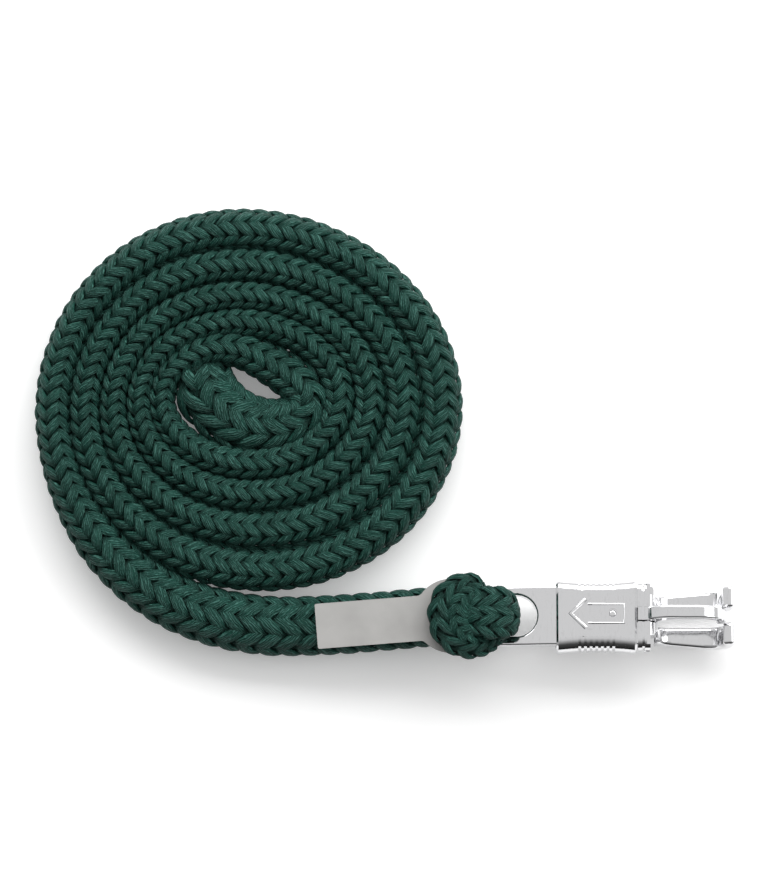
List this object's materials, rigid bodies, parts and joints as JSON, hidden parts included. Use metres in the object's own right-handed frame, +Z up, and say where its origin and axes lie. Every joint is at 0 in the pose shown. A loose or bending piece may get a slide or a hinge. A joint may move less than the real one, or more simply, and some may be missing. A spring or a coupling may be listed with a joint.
{
  "type": "lead rope",
  "caption": "Coiled braided lead rope spliced round the eye of a quick-release snap with a spring-loaded sleeve and a hinged jaw, with a bare hang tag.",
  "frame": {"origin": "on the surface that the rope and the snap lie on, under the middle of the snap", "axes": "+X along the snap from its eye to its hook, +Z up, +Y to the left of +X on the surface; the snap is rolled 12 degrees about X"},
  "size_m": [0.2958, 0.1858, 0.0338],
  "materials": {
    "chrome": "polished plating, fine scuffs on the sleeve",
    "steel": "bright drawn steel",
    "rope": "dark green multifilament braid with a soft sheen",
    "tag": "bare matt sheet"
  },
  "bodies": {
    "rope": {"rope_coil": "rope", "rope_tail": "rope", "rope_tucked_end": "rope", "rope_knot": "rope", "rope_bight": "rope"},
    "snap": {"snap_body": "chrome", "jaw_pin": "steel", "sleeve_spring": "steel"},
    "sleeve": {"sleeve": "chrome", "sleeve_stop_pin": "steel"},
    "jaw": {"jaw": "chrome"},
    "tag": {"name_tag": "tag"}
  },
  "joints": [
    {"name": "snap_swing", "type": "hinge", "parent": "rope", "child": "snap", "pos_m": [-0.05035, 0, 0.01495], "axis": [0, -0.9781, 0.2079], "range_deg": [0, 75]},
    {"name": "sleeve_slide", "type": "slide", "parent": "snap", "child": "sleeve", "axis": [-1, 0, 0], "range_m": [0, 0.01], "stiffness_N_per_m": 500, "springref_m": -0.004, "deforming": ["sleeve_spring"]},
    {"name": "jaw_swing", "type": "hinge", "parent": "snap", "child": "jaw", "pos_m": [0.0162, 0.00025, 0.01612], "axis": [0, -0.9781, 0.2079], "range_deg": [0, 70]},
    {"name": "tag_turn", "type": "hinge", "parent": "rope", "child": "tag", "pos_m": [-0.0652, 0.0006, 0.0228], "axis": [0, 0, 1], "range_deg": [-20, 20]}
  ],
  "couplings": [
    {"joint": "jaw_swing", "follows": "sleeve_slide", "rad_per_m": 122.17}
  ]
}
